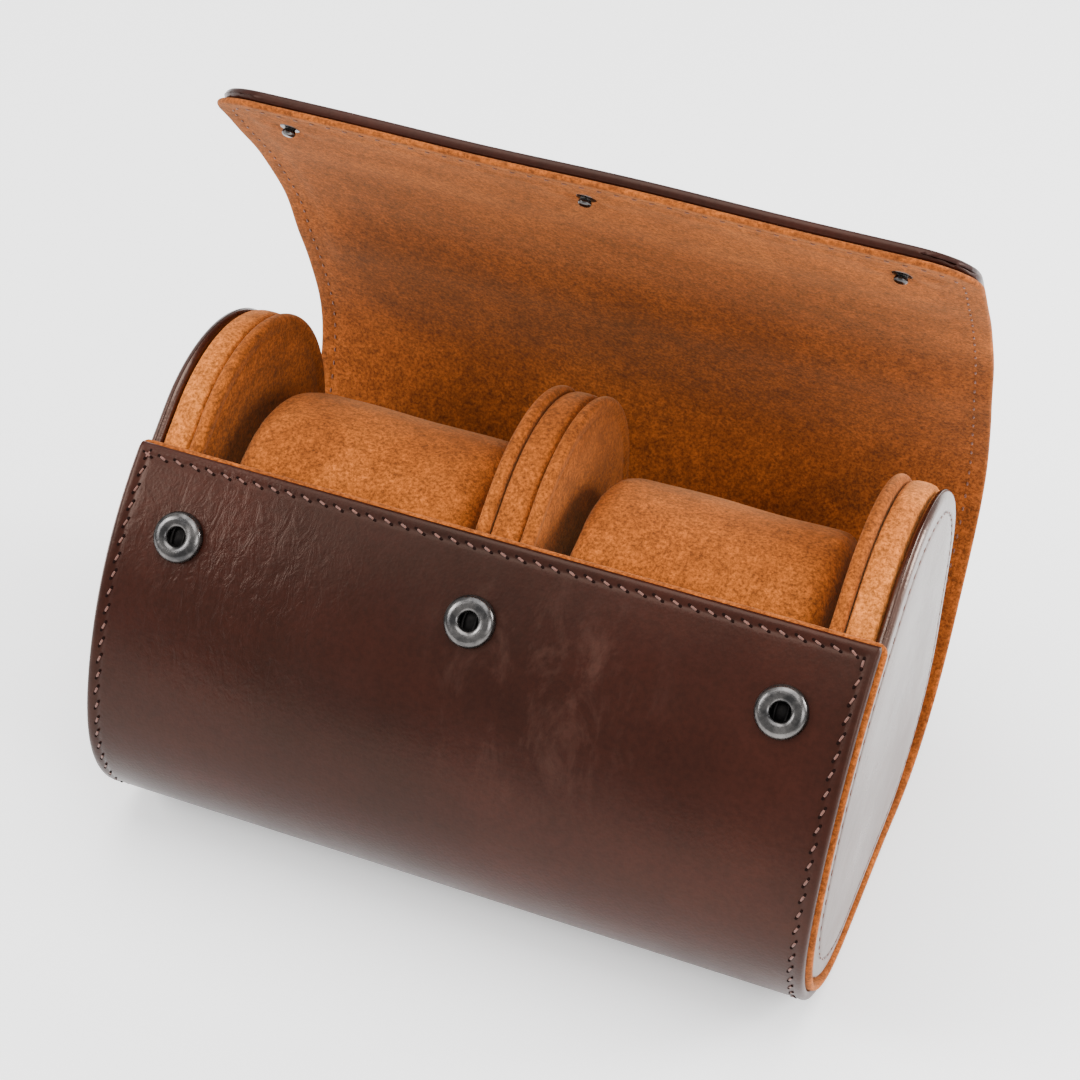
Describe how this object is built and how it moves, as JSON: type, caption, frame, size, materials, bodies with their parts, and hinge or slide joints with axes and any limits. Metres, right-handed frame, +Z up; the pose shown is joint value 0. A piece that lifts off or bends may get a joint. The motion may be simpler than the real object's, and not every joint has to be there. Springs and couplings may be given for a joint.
{
  "type": "watch roll case",
  "caption": "Leather watch roll with suede lining, removable oval watch cushions in bays between padded end caps and a divider, and a flexible lid that closes with press studs.",
  "frame": {"origin": "middle of the roll's length, on the flat strip of leather that the roll rests on", "axes": "+X along the roll to the viewer's right, -Y to the front panel with the press-stud sockets, +Z up"},
  "size_m": [0.156, 0.1198, 0.1477],
  "materials": {
    "leather": "smooth dark reddish-brown leather, semi-gloss",
    "suede": "tan suede with a short nap",
    "board": "pressed fibre stiffener, not seen",
    "foam": "foam filling, not seen",
    "gunmetal": "dark plated steel, polished on the edges"
  },
  "bodies": {
    "roll": {"body_board": "board", "body_leather": "leather", "body_lining": "suede", "cap_left_band": "suede", "cap_left_core": "foam", "cap_left_inner_face": "suede", "cap_left_leather_disc": "leather", "cap_right_band": "suede", "cap_right_core": "foam", "cap_right_inner_face": "suede", "cap_right_leather_disc": "leather", "divider_band": "suede", "divider_core": "foam", "divider_left_face": "suede", "divider_right_face": "suede", "socket_left": "gunmetal", "socket_left_spring": "gunmetal", "socket_left_washer": "gunmetal", "socket_middle": "gunmetal", "socket_middle_spring": "gunmetal", "socket_middle_washer": "gunmetal", "socket_right": "gunmetal", "socket_right_spring": "gunmetal", "socket_right_washer": "gunmetal"},
    "back_wall": {"back_board": "board", "back_leather": "leather", "back_lining": "suede"},
    "bend": {"bend_leather": "leather", "bend_lining": "suede"},
    "lid": {"lid_board": "board", "lid_leather": "leather", "lid_lining": "suede"},
    "lid_edge": {"edge_board": "board", "edge_leather": "leather", "edge_lining": "suede", "snap_cap_left": "gunmetal", "snap_cap_middle": "gunmetal", "snap_cap_right": "gunmetal", "stud_left": "gunmetal", "stud_middle": "gunmetal", "stud_right": "gunmetal"},
    "left_cushion": {"cushion_left_cover": "suede", "cushion_left_foam": "foam", "cushion_left_left_end": "suede", "cushion_left_right_end": "suede"},
    "right_cushion": {"cushion_right_cover": "suede", "cushion_right_foam": "foam", "cushion_right_left_end": "suede", "cushion_right_right_end": "suede"}
  },
  "joints": [
    {"name": "back_hinge", "type": "hinge", "parent": "roll", "child": "back_wall", "pos_m": [0, 0.0127, 0.0023], "axis": [1, 0, 0], "range_deg": [0, 22]},
    {"name": "bend_fold", "type": "hinge", "parent": "back_wall", "child": "bend", "pos_m": [0, 0.06238, 0.07492], "axis": [1, 0, 0], "range_deg": [0, 18.5]},
    {"name": "lid_fold", "type": "hinge", "parent": "bend", "child": "lid", "pos_m": [0, 0.05572, 0.08987], "axis": [1, 0, 0], "range_deg": [0, 30.5]},
    {"name": "edge_fold", "type": "hinge", "parent": "lid", "child": "lid_edge", "pos_m": [0, 0.03381, 0.12701], "axis": [1, 0, 0], "range_deg": [0, 25]},
    {"name": "left_cushion_lift", "type": "slide", "parent": "roll", "child": "left_cushion", "axis": [0, 0.7659, 0.6429], "range_m": [0, 0.009]},
    {"name": "right_cushion_lift", "type": "slide", "parent": "roll", "child": "right_cushion", "axis": [0, 0.7659, 0.6429], "range_m": [0, 0.009]}
  ],
  "couplings": [
    {"joint": "bend_fold", "follows": "back_hinge", "ratio": 0.8409},
    {"joint": "lid_fold", "follows": "back_hinge", "ratio": 1.3863},
    {"joint": "edge_fold", "follows": "back_hinge", "ratio": 1.1363}
  ]
}
